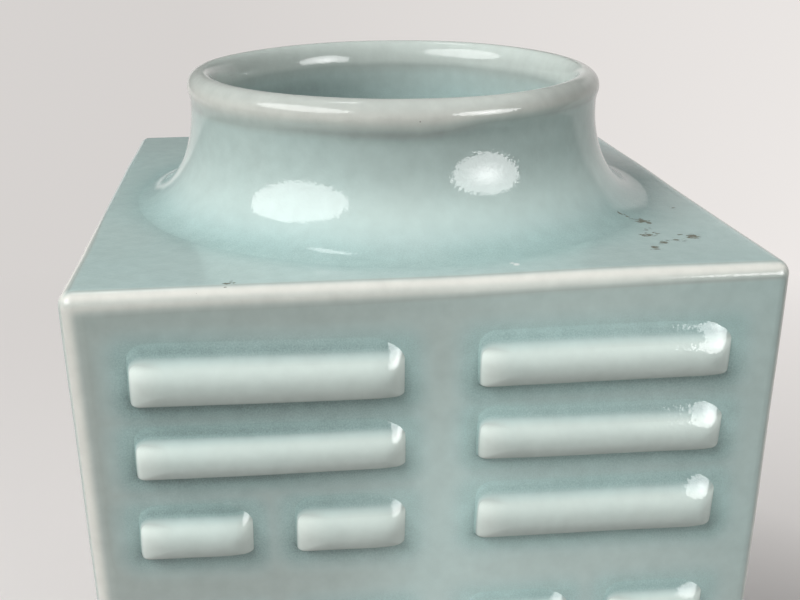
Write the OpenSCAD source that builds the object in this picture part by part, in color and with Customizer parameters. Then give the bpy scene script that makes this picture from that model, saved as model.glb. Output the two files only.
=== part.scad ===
// Square celadon vase after the ancient jade tube. Four mitred clay slabs make the body, a thrown
// collar makes the neck, a thrown ring makes the foot, and applied clay bars make the eight
// trigrams on each wall. Millimetres, +Z up, with the origin under the middle of the foot.

/* [Body] */
// Width of the square body across its walls, without the bars
body_w = 134; // [124:1:180]
// Height of the body, from the underside of its base to the top of its shoulder
body_h = 228; // [180:1:320]
// Thickness of the four wall slabs
wall_t = 6; // [4:0.5:10]
// Thickness of the slab that closes the top of the body
shoulder_t = 7; // [5:0.5:12]
// Thickness of the slab that closes the bottom of the body
base_t = 8; // [5:0.5:14]
// Radius of the four upright corners
corner_r = 3; // [1:0.25:5]
// Radius of the edges round the shoulder and round the base
edge_r = 2.8; // [1:0.2:4.4]
// Radius of the clay coil pressed into each upright seam on the inside
coil_r = 5; // [3:0.5:9]

/* [Luted joints] */
// Depth of the shallow seats that the neck and the foot ring stand in
seat_depth = 1.5; // [0.5:0.1:3]
// Room for the slip round a ring in its seat
slip_gap = 0.2; // [0.1:0.05:0.5]
// How much wider than the mouth the hole in the shoulder is cut
hole_margin = 2; // [0.5:0.5:4]

/* [Neck] */
// Height of the neck, from the shoulder to the top of the lip
neck_h = 28; // [23:0.5:45]
// Radius of the straight bore through the mouth
mouth_r = 40.5; // [34:0.5:43]
// Outside radius of the rolled lip
lip_r = 46.7; // [46:0.1:50]
// Outside radius of the neck at its waist
waist_r = 45.8; // [44:0.1:46.6]
// Height of the waist above the shoulder
waist_z = 20; // [14:0.5:24]
// Radius at which the foot of the neck meets the shoulder
flare_r = 58; // [50:0.5:63]

/* [Foot ring] */
// Height of the foot ring below the body
foot_h = 24; // [20:0.5:36]
// Outside radius of the foot ring at its waist
foot_waist_r = 46; // [42:0.5:50]
// Height of that waist above the floor
foot_waist_z = 9; // [4:0.5:11]
// Radius at which the foot ring meets the underside of the base
foot_flare_r = 53; // [49:0.5:60]
// Width of the foot rim, before its edges are trimmed
foot_rim_w = 7; // [5:0.5:10]
// How far the inside of the foot ring leans in towards the base
foot_lean = 1; // [0.5:0.25:3]
// Size of the bevels that trim the foot rim
foot_bevel = 1.2; // [0.5:0.1:2]

/* [Trigrams] */
// Height of a bar
bar_h = 7.6; // [5:0.2:11]
// How far a bar stands out from its wall
bar_rise = 3; // [2.4:0.2:5]
// Radius of the rounded edges of a bar
bar_edge_r = 2.2; // [0.6:0.2:2.2]
// Bare wall between a body corner and the nearest bar
side_margin = 11.5; // [6:0.5:20]
// Bare wall between the two columns of trigrams
column_gap = 14; // [8:0.5:24]
// Gap in the middle of a broken bar
split_gap = 9; // [4:0.5:14]
// Bare wall between the top of the shoulder and the first bar
top_margin = 13.5; // [9:0.5:24]
// Bare wall between the last bar and the underside of the base
bottom_margin = 13.5; // [9:0.5:24]
// Gap between one trigram and the next one below it
trigram_gap = 14.2; // [8:0.2:20]

/* [Hidden] */
$fn = 96;
// Overlap that lets a cut pass clean through a face
cut = 1;
// How far the roll of the lip reaches past the bore before the bore trims it
lip_trim = 0.4;
GLAZE = "#b7d3cf";

half_w = body_w / 2;
inner_half = half_w - wall_t;
base_top = foot_h + base_t;
shoulder_z = foot_h + body_h;
shoulder_under = shoulder_z - shoulder_t;
lip_roll = (lip_r - mouth_r + lip_trim) / 2;
lip_z = shoulder_z + neck_h - lip_roll;

// Trigrams as a name and three lines read from the top, where 1 is a whole bar and 0 a broken one.
// The first four stand in the right column from the top down, the last four in the left column.
TRIGRAMS = [
    ["heaven", [1, 1, 1]],
    ["lake", [0, 1, 1]],
    ["fire", [1, 0, 1]],
    ["thunder", [0, 0, 1]],
    ["wind", [1, 1, 0]],
    ["water", [0, 1, 0]],
    ["mountain", [1, 0, 0]],
    ["earth", [0, 0, 0]],
];
lines = 3;
levels = len(TRIGRAMS) / 2;
bar_l = (body_w - 2 * side_margin - column_gap) / 2;
half_bar_l = (bar_l - split_gap) / 2;
column_x = (column_gap + bar_l) / 2;
bars_room = body_h - top_margin - bottom_margin - (levels - 1) * trigram_gap;
line_gap = (bars_room - levels * lines * bar_h) / (levels * (lines - 1));
line_pitch = bar_h + line_gap;
level_pitch = lines * bar_h + (lines - 1) * line_gap + trigram_gap;

// Each wall is the front wall turned by a quarter more, and each seam follows its wall.
WALLS = ["front", "right", "back", "left"];
SEAMS = ["front_right", "back_right", "back_left", "front_left"];

function wall_name(k) = str(WALLS[k], "_wall");
function coil_name(k) = str(SEAMS[k], "_seam_coil");
function trigram_name(k, t) = str(WALLS[k], "_", TRIGRAMS[t][0], "_trigram");

// Radius of the arc that is upright at a waist and has swung out by reach at a height of rise.
function flare_arc(reach, rise) = (reach * reach + rise * rise) / (2 * reach);

// What a corner loses when it is rounded, with the middle of its arc at the origin.
module corner_cut(r) {
    difference() {
        square(r + cut);
        circle(r);
    }
}

// Square with four rounded corners, centred.
module rounded_square(w, r) {
    difference() {
        square(w, center = true);
        for (turn = [0:90:270])
            rotate(turn) translate([w / 2 - r, w / 2 - r]) corner_cut(r);
    }
}

// Strip of width w and height h that stands on the X axis, with its two upper corners rounded.
module round_topped(w, h, r) {
    difference() {
        translate([-w / 2, 0]) square([w, h]);
        for (side = [0, 1])
            mirror([side, 0]) translate([w / 2 - r, h - r]) corner_cut(r);
    }
}

// Square slab that lies on z = 0, with its upright corners and its upper edges rounded.
module closing_slab(t) {
    intersection() {
        linear_extrude(t) rounded_square(body_w, corner_r);
        for (turn = [0, 90])
            rotate([90, 0, turn])
                linear_extrude(body_w + 2 * cut, center = true) round_topped(body_w, t, edge_r);
    }
}

// Thrown ring that carries the body, waisted outside, leaning inside, with a trimmed bare rim.
module foot_ring() {
    reach = foot_flare_r - foot_waist_r;
    arc_r = flare_arc(reach, foot_h - foot_waist_z);
    rim_r = foot_waist_r + arc_r - sqrt(arc_r * arc_r - foot_waist_z * foot_waist_z);
    inner_r = rim_r - foot_rim_w;
    top = foot_h + seat_depth;
    color(GLAZE) rotate_extrude() difference() {
        square([foot_flare_r, top]);
        translate([foot_waist_r + arc_r, foot_waist_z]) circle(arc_r);
        polygon([
            [-cut, -cut], [inner_r + foot_bevel + cut, -cut], [inner_r, foot_bevel],
            [inner_r - foot_lean, top + cut], [-cut, top + cut],
        ]);
        polygon([
            [rim_r + cut, foot_bevel + cut], [rim_r - foot_bevel - cut, -cut], [rim_r + cut, -cut],
        ]);
    }
}

// Slab that closes the bottom of the body, with the seat of the foot ring underneath.
module base_slab() {
    color(GLAZE) difference() {
        translate([0, 0, base_top]) mirror([0, 0, 1]) closing_slab(base_t);
        translate([0, 0, foot_h - cut])
            cylinder(h = seat_depth + cut, r = foot_flare_r + slip_gap);
    }
}

// Wall slab k, mitred where it meets its two neighbours.
module wall(k) {
    color(GLAZE) rotate(90 * k) translate([0, 0, base_top])
        linear_extrude(shoulder_under - base_top) intersection() {
            rounded_square(body_w, corner_r);
            polygon([
                [-half_w, -half_w], [half_w, -half_w],
                [inner_half, -inner_half], [-inner_half, -inner_half],
            ]);
        }
}

// Coil pressed into the seam between wall k and the next wall, from the base to the shoulder.
module seam_coil(k) {
    color(GLAZE) rotate(90 * k) translate([inner_half, -inner_half, base_top])
        linear_extrude(shoulder_under - base_top) intersection() {
            circle(coil_r);
            translate([-coil_r - cut, 0]) square(coil_r + cut);
        }
}

// Slab that closes the top of the body, with the seat of the neck and the hole under the mouth.
module shoulder_slab() {
    color(GLAZE) difference() {
        translate([0, 0, shoulder_under]) closing_slab(shoulder_t);
        translate([0, 0, shoulder_z - seat_depth])
            cylinder(h = seat_depth + cut, r = flare_r + slip_gap);
        translate([0, 0, shoulder_under - cut])
            cylinder(h = shoulder_t + 2 * cut, r = mouth_r + hole_margin);
    }
}

// Thrown collar with a straight bore, a waist that flares to the shoulder, and a rolled lip.
module neck_collar() {
    arc_r = flare_arc(flare_r - waist_r, waist_z);
    foot = shoulder_z - seat_depth;
    color(GLAZE) rotate_extrude() difference() {
        union() {
            difference() {
                translate([0, foot]) square([flare_r, lip_z - foot]);
                translate([waist_r + arc_r, shoulder_z + waist_z]) circle(arc_r);
            }
            translate([lip_r - lip_roll, lip_z]) circle(lip_roll);
        }
        translate([-cut, foot - cut]) square([mouth_r + cut, neck_h + seat_depth + 2 * cut]);
    }
}

// Bar of length l that stands out towards -Y, with its flat back in the middle of the XZ plane.
module bar(l) {
    intersection() {
        rotate([0, 90, 180]) linear_extrude(l, center = true) round_topped(bar_h, bar_rise, bar_edge_r);
        rotate(180) linear_extrude(bar_h, center = true) round_topped(l, bar_rise, bar_edge_r);
    }
}

// Trigram t of wall k, as separate bars on the face of the wall.
module trigram(k, t) {
    x = (t < levels ? 1 : -1) * column_x;
    first_z = shoulder_z - top_margin - bar_h / 2 - (t % levels) * level_pitch;
    color(GLAZE) rotate(90 * k)
        for (i = [0:lines - 1]) translate([x, -half_w, first_z - i * line_pitch])
            if (TRIGRAMS[t][1][i] == 1)
                bar(bar_l);
            else
                for (side = [-1, 1])
                    translate([side * (split_gap + half_bar_l) / 2, 0, 0]) bar(half_bar_l);
}

foot_ring();
base_slab();
shoulder_slab();
neck_collar();
for (k = [0:3]) {
    wall(k);
    seam_coil(k);
    for (t = [0:len(TRIGRAMS) - 1])
        trigram(k, t);
}
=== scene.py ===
# %% [markdown]
# # A square celadon vase
#
# The vase is luted together from clay pieces: four wall slabs, a base, a shoulder, a thrown neck, a
# thrown foot and the raised bars of eight trigrams on each wall. A pale blue-green glaze covers them
# all. It runs thin and whitish over every edge and pools, deeper in colour, wherever there is a hollow.
# We build each clay piece as its own mesh, paint on it how thick the glaze lies, and let one glaze
# material read that paint.

# %% The fixed frame
import math
import random

import bmesh
import bpy
import numpy as np
from mathutils import Matrix, Vector


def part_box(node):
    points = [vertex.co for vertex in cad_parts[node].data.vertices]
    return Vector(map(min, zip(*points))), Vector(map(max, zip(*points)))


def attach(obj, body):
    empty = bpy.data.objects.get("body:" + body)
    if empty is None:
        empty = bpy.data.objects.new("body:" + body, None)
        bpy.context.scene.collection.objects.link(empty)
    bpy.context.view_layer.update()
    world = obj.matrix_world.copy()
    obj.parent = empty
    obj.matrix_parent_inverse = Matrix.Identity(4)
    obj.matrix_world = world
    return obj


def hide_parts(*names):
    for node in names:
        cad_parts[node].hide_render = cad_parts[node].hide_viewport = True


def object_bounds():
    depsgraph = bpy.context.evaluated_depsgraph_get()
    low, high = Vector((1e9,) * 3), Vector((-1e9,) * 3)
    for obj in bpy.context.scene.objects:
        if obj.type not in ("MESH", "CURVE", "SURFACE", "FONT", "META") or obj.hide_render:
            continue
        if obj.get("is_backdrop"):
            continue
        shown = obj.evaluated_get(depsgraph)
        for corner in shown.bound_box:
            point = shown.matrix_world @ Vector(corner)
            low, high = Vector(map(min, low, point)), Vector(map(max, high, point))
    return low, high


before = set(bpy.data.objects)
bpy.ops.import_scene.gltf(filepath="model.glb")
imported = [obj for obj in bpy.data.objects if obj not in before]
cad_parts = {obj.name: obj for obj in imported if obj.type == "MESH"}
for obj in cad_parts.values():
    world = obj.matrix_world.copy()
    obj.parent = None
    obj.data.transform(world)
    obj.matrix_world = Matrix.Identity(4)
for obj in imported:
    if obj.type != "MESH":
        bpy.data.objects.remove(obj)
cad_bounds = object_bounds()
print("CAD box:", [tuple(round(v, 4) for v in corner) for corner in cad_bounds])

# %% [markdown]
# ## Sizes from the frame
#
# The construction model already says where every piece sits, so we read the main sizes from its boxes
# and write down only what a box can't tell, such as the height of one bar. Everything is in metres, so
# a millimetre gets a name.

# %% Sizes of the vase
MM = 0.001
wall_low, wall_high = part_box("front_wall")
shoulder_low, shoulder_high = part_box("shoulder_slab")
base_low, base_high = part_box("base_slab")
neck_low, neck_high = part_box("neck_collar")
foot_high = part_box("foot_ring")[1]
heaven_low, heaven_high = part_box("front_heaven_trigram")

half_width = shoulder_high.x
shoulder_top = shoulder_high.z
base_bottom = base_low.z
bar_height = 7.6 * MM
bar_length = heaven_high.x - heaven_low.x
line_pitch = (heaven_high.z - heaven_low.z - bar_height) / 2
split_gap = 9 * MM
half_bar_length = (bar_length - split_gap) / 2
corner_radius = 3 * MM
edge_radius = 2.8 * MM
print(f"Body {2 * half_width / MM:.0f} mm wide, shoulder at {shoulder_top / MM:.0f} mm")

# %% [markdown]
# ## Camera
#
# The photograph looks down at the mouth from close by, so the upright edges lean together. Matching a
# picture starts with its lens: position, tilt and focal length were fitted to the straight edges of the
# body, and the rest follows.

# %% Camera
camera_data = bpy.data.cameras.new("camera")
camera_data.sensor_width = 36
camera_data.lens = 46.53
camera_data.clip_start = 10 * MM
camera = bpy.data.objects.new("camera", camera_data)
bpy.context.scene.collection.objects.link(camera)
PITCH_DOWN, YAW_RIGHT, ROLL = (math.radians(a) for a in (20.66, 7.00, 0.19))
camera.matrix_world = (
    Matrix.Translation((-28.3 * MM, -238.8 * MM, shoulder_top + 61.6 * MM))
    @ Matrix.Rotation(-YAW_RIGHT, 4, "Z")
    @ Matrix.Rotation(math.radians(90) - PITCH_DOWN, 4, "X")
    @ Matrix.Rotation(-ROLL, 4, "Z")
)
bpy.context.scene.camera = camera
print("Camera lens", camera_data.lens, "mm")

# %% [markdown]
# ## Trigrams set by hand
#
# Each wall carries eight trigrams in two columns, and each trigram is three lines, whole or broken. The
# bars were set by eye, and on the top of the front wall the photograph shows by how much each one
# slipped, so those slips are written down. We settle the places of all bars first, because the glaze on
# the wall pools round them.

# %% Trigrams set by hand
WALLS = ["front", "right", "back", "left"]
# Each trigram has three lines from the top down, where 1 is a whole bar and 0 a broken one.
TRIGRAMS = {
    "heaven": (1, 1, 1), "lake": (0, 1, 1), "fire": (1, 0, 1), "thunder": (0, 0, 1),
    "wind": (1, 1, 0), "water": (0, 1, 0), "mountain": (1, 0, 0), "earth": (0, 0, 0),
}
# The potter's hand on the top bars: right, up, longer and taller in millimetres, and a turn in degrees.
HAND_SLIPS = {
    "wind": [
        (0.05, 0.0, 0.5, 1.3, -1.2), (-0.1, 0.55, 0.6, 0.1, -1.1),
        (-0.85, -0.2, 0.4, 0.7, -2.2), (-0.2, -0.6, 0.6, 1.0, -1.6),
    ],
    "heaven": [(0.5, 0.15, -1.0, 0.65, -0.4), (0.4, 0.45, -1.0, 0.3, -1.7), (0.5, -0.35, -0.8, 1.4, -1.3)],
    "water": [(0, -3, 0, 0, 0)] * 5,
    "lake": [(0, -2.8, 0, 0, -0.8)] * 4,
}


def bar_rows(trigram):
    """Plain centre and length of each bar of a front wall's trigram, as (x, z, length)."""
    low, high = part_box(f"front_{trigram}_trigram")
    x = (low.x + high.x) / 2
    shift = (split_gap + half_bar_length) / 2
    for i, whole in enumerate(TRIGRAMS[trigram]):
        z = high.z - bar_height / 2 - i * line_pitch
        if whole:
            yield x, z, bar_length
        else:
            yield x - shift, z, half_bar_length
            yield x + shift, z, half_bar_length


def bar_places(trigram):
    """Centre, length, height and turn of each bar as it was set by hand, as (x, z, length, height, turn)."""
    rows = list(bar_rows(trigram))
    slips = HAND_SLIPS.get(trigram, [(0, 0, 0, 0, 0)] * len(rows))
    for (x, z, length), (right, up, longer, taller, turn) in zip(rows, slips):
        yield x + right * MM, z + up * MM, length + longer * MM, bar_height + taller * MM, math.radians(turn)


FRONT_BARS = [bar for trigram in TRIGRAMS for bar in bar_places(trigram)]
print("Places for", len(FRONT_BARS), "bars a wall, whole bars", round(bar_length / MM, 1), "mm long")

# %% [markdown]
# ## How thick the glaze lies
#
# Celadon gets its colour from depth. On a convex edge the melt pulls away and the pale body shows
# through. Beside a raised bar, or at the foot of the neck, it collects. It also turns milky where it is
# full of tiny bubbles, as on the backs of the bars. A shader can't see such places by itself, so we
# write rules of position that give two numbers: glaze, from 0 for bare to 1 for a deep pool, and milk,
# which lightens the colour above 0 and greys it below. Milk also carries painted shade, under and
# between the bars, on their slopes, under the lip and on the left of the bore, and some painted light
# on the right of the bore. Walls and slabs share one rule, so the colour runs on without a seam where
# two of them meet.

# %% Glaze on the body
WALL_GLAZE, POOLED, SHOULDER_GLAZE, INSIDE_GLAZE = 0.54, 0.82, 0.66, 0.5
# The vase was dipped at a slant, so the glaze ran towards the right of each wall.
RUN_TO_RIGHT = 0.08


def ease(value, low, high):
    """0 below low, 1 above high, and a smooth step between."""
    t = np.clip((value - low) / (high - low), 0, 1)
    return t * t * (3 - 2 * t)


def bump_at(distance, width):
    """1 at no distance, falling off smoothly over a width."""
    return np.exp(-((distance / width) ** 2))


def reach_to_bars(across, up):
    """Distance of points on a wall from the nearest bar, from its lower edge and from its upper edge."""
    nearest, under, over = np.ones((3, len(up)))
    for x, z, length, height, turn in FRONT_BARS:
        rel = up - z - turn * (across - x)
        dx = np.maximum(np.abs(across - x) - length / 2, 0)
        nearest = np.minimum(nearest, np.hypot(dx, np.maximum(np.abs(rel) - height / 2, 0)))
        under = np.minimum(under, np.hypot(dx, rel + height / 2))
        over = np.minimum(over, np.hypot(dx, rel - height / 2))
    return nearest, under, over


def body_glaze(co):
    """Glaze and milk on walls and slabs: pooled round the bars and neck, thin on every outer edge, painted
    shade under bars.
    """
    x, y, z = co.T
    inset = half_width - np.maximum(np.abs(x), np.abs(y))
    across = np.where(np.abs(y) >= np.abs(x), x * np.sign(-y), y * np.sign(x)) / half_width
    from_rim = np.minimum(np.maximum(shoulder_top - z, inset), np.maximum(z - base_bottom, inset))
    from_corner = half_width - np.minimum(np.abs(x), np.abs(y))
    reach, under, over = reach_to_bars(across * half_width, z)
    middle = bump_at(across, 0.2) * ease(shoulder_top - z, 15 * MM, 45 * MM)
    wall = WALL_GLAZE + RUN_TO_RIGHT * across + 0.1 * middle
    side = POOLED + (wall - POOLED) * ease(reach, 1.5 * MM, 7 * MM)
    # Painted shade under each bar's lower edge, fading down towards the next bar.
    shade = np.clip(1 - under / (5.5 * MM), 0, 1)
    deep = 1 - ease(over, 2.5 * MM, 6.5 * MM)
    milk_and_shade = -0.05 + 0.19 * bump_at(across - 0.4, 0.5) - 0.38 * shade - 0.08 * deep + 0.2 * middle
    # Towards the back of the left edge the glaze stayed on.
    kept = ease(y, -40 * MM, 10 * MM) * ease(-x, 40 * MM, 60 * MM)
    side *= ease(from_rim, (1.55 - 0.35 * across - kept) * MM, (4.2 - 0.6 * across - 2 * kept) * MM)
    side *= ease(from_corner, (1 - 0.6 * across) * MM, (3.2 - 1.1 * across) * MM)
    # The inside of the body has an even coat.
    inner = ease(inset, 2 * MM, 5 * MM)
    side += (INSIDE_GLAZE - side) * inner
    milk_and_shade *= 1 - inner
    # The shoulder is deeper in colour round the neck.
    ring = bump_at(np.hypot(x, y) - neck_high.x, 5 * MM)
    top = SHOULDER_GLAZE + 0.14 * ring
    top *= ease(from_rim, (0.9 - 0.8 * kept) * MM, (2.8 - 1.8 * kept) * MM)
    upward = ease(z, shoulder_top - edge_radius, shoulder_top - 0.2 * edge_radius)
    return side + (top - side) * upward, milk_and_shade + (-0.12 * ring - milk_and_shade) * upward


print("Glaze from", WALL_GLAZE, "on a plain wall to", POOLED, "in a pool")

# %% [markdown]
# ## A brush for the glaze
#
# A point attribute is a number kept on each point of a mesh, which a material can read by its name. It
# could be painted by hand with a brush. Here a rule paints all points at once, which gives the same
# result on each run and follows the piece when its size changes.

# %% Brush


def points_of(piece):
    flat = np.zeros(len(piece.data.vertices) * 3)
    piece.data.vertices.foreach_get("co", flat)
    return flat.reshape(-1, 3)


def read_paint(piece, name):
    values = np.zeros(len(piece.data.vertices))
    piece.data.attributes[name].data.foreach_get("value", values)
    return values


def write_paint(piece, name, values):
    layer = piece.data.attributes.get(name) or piece.data.attributes.new(name, "FLOAT", "POINT")
    layer.data.foreach_set("value", values.astype(np.float32))


def paint(piece, rule):
    """Store a rule's glaze and milk on each point of a piece, and for a bar how far its back rises."""
    for name, values in zip(("glaze", "milk_and_shade", "back"), rule(points_of(piece))):
        write_paint(piece, name, values)
    return piece


print("Brush ready for glaze and milk")

# %% [markdown]
# ## Walls
#
# A wall is a slab of clay with its ends cut to 45 degrees, so that four alike close to a square. We
# round the two outer upright edges of a block first and mitre it afterwards, which leaves each wall
# half of every rounded corner. The slab is then cut into cells, because the glaze paint is kept on its
# points and a bare slab has only eight. One wall is modelled and turned for the other three sides. The
# helpers do what one would do by hand: add a block at its size, choose edges by where they are, and cut
# with the bisect operator.

# %% Tools for slabs
CELL = 1.5 * MM


def lay_aside():
    """Deselect every object, so that an operator acts on the new piece alone."""
    for thing in bpy.context.selected_objects:
        thing.select_set(False)


def name_piece(name):
    piece = bpy.context.object
    piece.name = name
    piece.data.name = name
    return piece


def block(name, low, high):
    """A cube primitive stretched between two corners, with its place in its mesh."""
    lay_aside()
    low, high = Vector(low), Vector(high)
    bpy.ops.mesh.primitive_cube_add(size=1, location=(low + high) / 2)
    piece = name_piece(name)
    piece.scale = high - low
    bpy.ops.object.transform_apply(location=True, rotation=True, scale=True)
    return piece


def choose_edges(piece, test):
    """In edit mode, select the edges whose two ends pass the test."""
    bpy.ops.mesh.select_mode(type="EDGE")
    bpy.ops.mesh.select_all(action="DESELECT")
    shape = bmesh.from_edit_mesh(piece.data)
    for edge in shape.edges:
        edge.select_set(test(edge.verts[0].co, edge.verts[1].co))
    bmesh.update_edit_mesh(piece.data)


def slice_across(axis, low, high, cell=CELL):
    """In edit mode, cut the mesh into even cells between two places along an axis."""
    count = max(1, round((high - low) / cell))
    normal = Vector((0, 0, 0))
    normal[axis] = 1
    for i in range(count + 1):
        bpy.ops.mesh.select_all(action="SELECT")
        place = normal * (low + (high - low) * i / count)
        bpy.ops.mesh.bisect(plane_co=place, plane_no=normal)


print("Slabs are cut into cells of", CELL / MM, "mm")

# %% Walls


def model_wall():
    low, high = wall_low.copy(), wall_high.copy()
    low.x, high.x = -half_width, half_width
    piece = block("front_wall_slab", low, high)
    bpy.ops.object.mode_set(mode="EDIT")
    front = low.y + 0.1 * MM
    choose_edges(piece, lambda a, b: a.y < front and b.y < front and abs(a.x - b.x) < 0.1 * MM)
    bpy.ops.mesh.bevel(offset=corner_radius, segments=24, affect="EDGES")
    for side in (-1, 1):
        bpy.ops.mesh.select_all(action="SELECT")
        bpy.ops.mesh.bisect(plane_co=(0, 0, 0), plane_no=(side, 1, 0), use_fill=True, clear_outer=True)
    flat = half_width - corner_radius - 0.5 * MM
    slice_across(0, -flat, flat)
    slice_across(2, low.z + CELL, high.z - CELL)
    bpy.ops.object.mode_set(mode="OBJECT")
    return paint(piece, body_glaze)


def turned_copy(piece, name, quarter):
    """A copy with its own mesh, turned by quarters of a turn about the vase's axis."""
    twin = piece.copy()
    twin.data = piece.data.copy()
    twin.name = name
    twin.data.name = name
    bpy.context.scene.collection.objects.link(twin)
    twin.data.transform(Matrix.Rotation(math.radians(90 * quarter), 4, "Z"))
    return twin


front_slab = model_wall()
wall_pieces = {"front_wall": front_slab}
for quarter, side in enumerate(WALLS[1:], 1):
    wall_pieces[f"{side}_wall"] = turned_copy(front_slab, f"{side}_wall_slab", quarter)
print("Walls:", len(wall_pieces), "with", len(front_slab.data.polygons), "faces each")

# %% [markdown]
# ## Shoulder and base
#
# The two square slabs that close the body get a soft edge all round: the upright corners are bevelled
# first, then the rim, so that both roundings meet in a small ball corner. The hole under the mouth is a
# boolean cut, because it is hidden by the neck and needs no neat cells.

# %% Shoulder and base


def model_slab(name, low, high, rim_z):
    """A slab with rounded corners, and with its rim at one height rounded over."""
    piece = block(name, low, high)
    bpy.ops.object.mode_set(mode="EDIT")
    choose_edges(piece, lambda a, b: abs(a.z - b.z) > 1 * MM)
    bpy.ops.mesh.bevel(offset=corner_radius, segments=24, affect="EDGES")
    choose_edges(piece, lambda a, b: abs(a.z - rim_z) + abs(b.z - rim_z) < 0.1 * MM)
    bpy.ops.mesh.bevel(offset=edge_radius, segments=12, affect="EDGES")
    flat = half_width - corner_radius - 0.5 * MM
    slice_across(0, -flat, flat)
    slice_across(1, -flat, flat)
    plain = (low[2], high[2] - edge_radius) if rim_z == high[2] else (low[2] + edge_radius, high[2])
    slice_across(2, *plain, cell=0.7 * MM)
    bpy.ops.object.mode_set(mode="OBJECT")
    return piece


def finish_with(piece, kind, **settings):
    """Add a modifier, set it and apply it."""
    lay_aside()
    bpy.context.view_layer.objects.active = piece
    piece.select_set(True)
    change = piece.modifiers.new(kind.lower(), kind)
    for key, value in settings.items():
        setattr(change, key, value)
    bpy.ops.object.modifier_apply(modifier=change.name)


def drill(piece, radius, low, high):
    """Cut a round hole through a piece along the vase's axis."""
    lay_aside()
    bpy.ops.mesh.primitive_cylinder_add(
        vertices=96, radius=radius, depth=high - low, location=(0, 0, (low + high) / 2)
    )
    drill_bit = name_piece("drill_bit")
    finish_with(piece, "BOOLEAN", object=drill_bit, operation="DIFFERENCE", solver="EXACT")
    bpy.data.objects.remove(drill_bit)


shoulder_hole = 42.5 * MM
shoulder = model_slab("shoulder", shoulder_low, shoulder_high, shoulder_high.z)
drill(shoulder, shoulder_hole, shoulder_low.z - 1 * MM, shoulder_high.z + 1 * MM)
paint(shoulder, body_glaze)
base = model_slab("base", base_low, base_high, base_low.z)
paint(base, body_glaze)
print("Shoulder", len(shoulder.data.polygons), "faces, base", len(base.data.polygons), "faces")

# %% [markdown]
# ## Throwing on the wheel
#
# The neck and the foot were thrown, so both are round. The spin operator could turn a profile about the
# axis. We pull a ring of edges along the profile instead, as the potter pulls clay upwards: extrude,
# widen or narrow, and extrude again, until the last ring is bridged to the first one.

# %% Throwing on the wheel


def throw_ring(name, profile, segments=192):
    """Pull a ring of clay along a closed profile of (radius, height) points, as on a wheel."""
    lay_aside()
    radius, height = profile[0]
    bpy.ops.mesh.primitive_circle_add(vertices=segments, radius=radius, location=(0, 0, height))
    piece = name_piece(name)
    bpy.ops.object.transform_apply(location=True, rotation=True, scale=True)
    bpy.ops.object.mode_set(mode="EDIT")
    bpy.ops.mesh.select_mode(type="EDGE")
    bpy.ops.mesh.select_all(action="SELECT")
    for next_radius, next_height in profile[1:]:
        bpy.ops.mesh.extrude_edges_move(TRANSFORM_OT_translate={"value": (0, 0, next_height - height)})
        grow = next_radius / radius
        bpy.ops.transform.resize(value=(grow, grow, 1), center_override=(0, 0, 0))
        radius, height = next_radius, next_height
    bpy.ops.mesh.select_all(action="DESELECT")
    bpy.ops.mesh.select_non_manifold()
    bpy.ops.mesh.bridge_edge_loops()
    bpy.ops.mesh.select_all(action="SELECT")
    bpy.ops.mesh.normals_make_consistent(inside=False)
    bpy.ops.object.mode_set(mode="OBJECT")
    return piece


def arc(centre, radius, start, end, steps):
    """Points along an arc of a profile, with its angles in degrees from the outward direction."""
    angles = [math.radians(start + (end - start) * i / steps) for i in range(steps + 1)]
    return [(centre[0] + radius * math.cos(a), centre[1] + radius * math.sin(a)) for a in angles]


print("The wheel throws closed profiles of (radius, height) points")

# %% [markdown]
# ## Neck profile
#
# The profile goes up from the shoulder along a quarter of an ellipse to the waist, through a soft
# hollow, over the rolled lip and down into the bore in an easy curve. At its foot it runs out flat, a
# hair under the shoulder's face, so that the two meet without a line.

# %% Neck profile
mouth_radius = 40 * MM
waist_radius = 45.95 * MM
waist_height = shoulder_top + 21 * MM
flare_reach = 13.8 * MM
flare_drop = waist_height - shoulder_top + 0.02 * MM
lip_roll = 3.3 * MM
lip_hollow = 8 * MM
lip_depth = 6 * MM
lip_centre = (43.2 * MM, shoulder_top + 24.55 * MM)


def flare_points(steps=40):
    """The flare from the shoulder, where it lies flat, up to the waist, along a quarter of an ellipse."""
    turns = [math.radians(90 * (steps - i) / steps) for i in range(steps + 1)]
    radii = [waist_radius + flare_reach * (1 - math.cos(t)) for t in turns]
    heights = [waist_height - flare_drop * math.sin(t) for t in turns]
    return list(zip(radii, heights))


def lip_points():
    """The hollow under the lip, the roll over its top, and the curve down into the bore."""
    hollow_x = waist_radius + lip_hollow - lip_centre[0]
    turn = math.degrees(math.acos(hollow_x / (lip_hollow + lip_roll)))
    hollow_z = lip_centre[1] - (lip_hollow + lip_roll) * math.sin(math.radians(turn))
    hollow = arc((waist_radius + lip_hollow, hollow_z), lip_hollow, 180, 180 - turn, 8)
    roll = arc(lip_centre, lip_roll, -turn, 90, 24)
    lean = lip_centre[0] - mouth_radius
    crest = lip_centre[1] + lip_roll
    quarter = [math.radians(90 * i / 16) for i in range(1, 17)]
    inside = [(lip_centre[0] - lean * math.sin(a), crest - lip_depth * (1 - math.cos(a))) for a in quarter]
    bore = [(mouth_radius, crest - lip_depth - 1.5 * MM * i) for i in range(1, 14)]
    return hollow + roll[1:] + inside + bore


neck_profile = [(mouth_radius, neck_low.z), (neck_high.x, neck_low.z)] + flare_points() + lip_points()
print("Neck profile:", len(neck_profile), "points")

# %% [markdown]
# ## Neck
#
# The glaze is thin and stained on the lip, lighter on the flare and deeper at the neck's foot, and the
# neck carries painted shade under the lip and on the left of the bore, with a lighter right side of the
# bore that is partly painted light, so the neck has a rule of its own. The wheel and the fire left the
# mouth a hair off centre and a hair higher at the back: after painting, we move the neck and tilt its lip in
# edit mode.

# %% Neck
NECK_SHIFT, LIP_LIFT, LIP_TILT = -0.35 * MM, 0.6 * MM, math.radians(-0.53)


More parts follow.
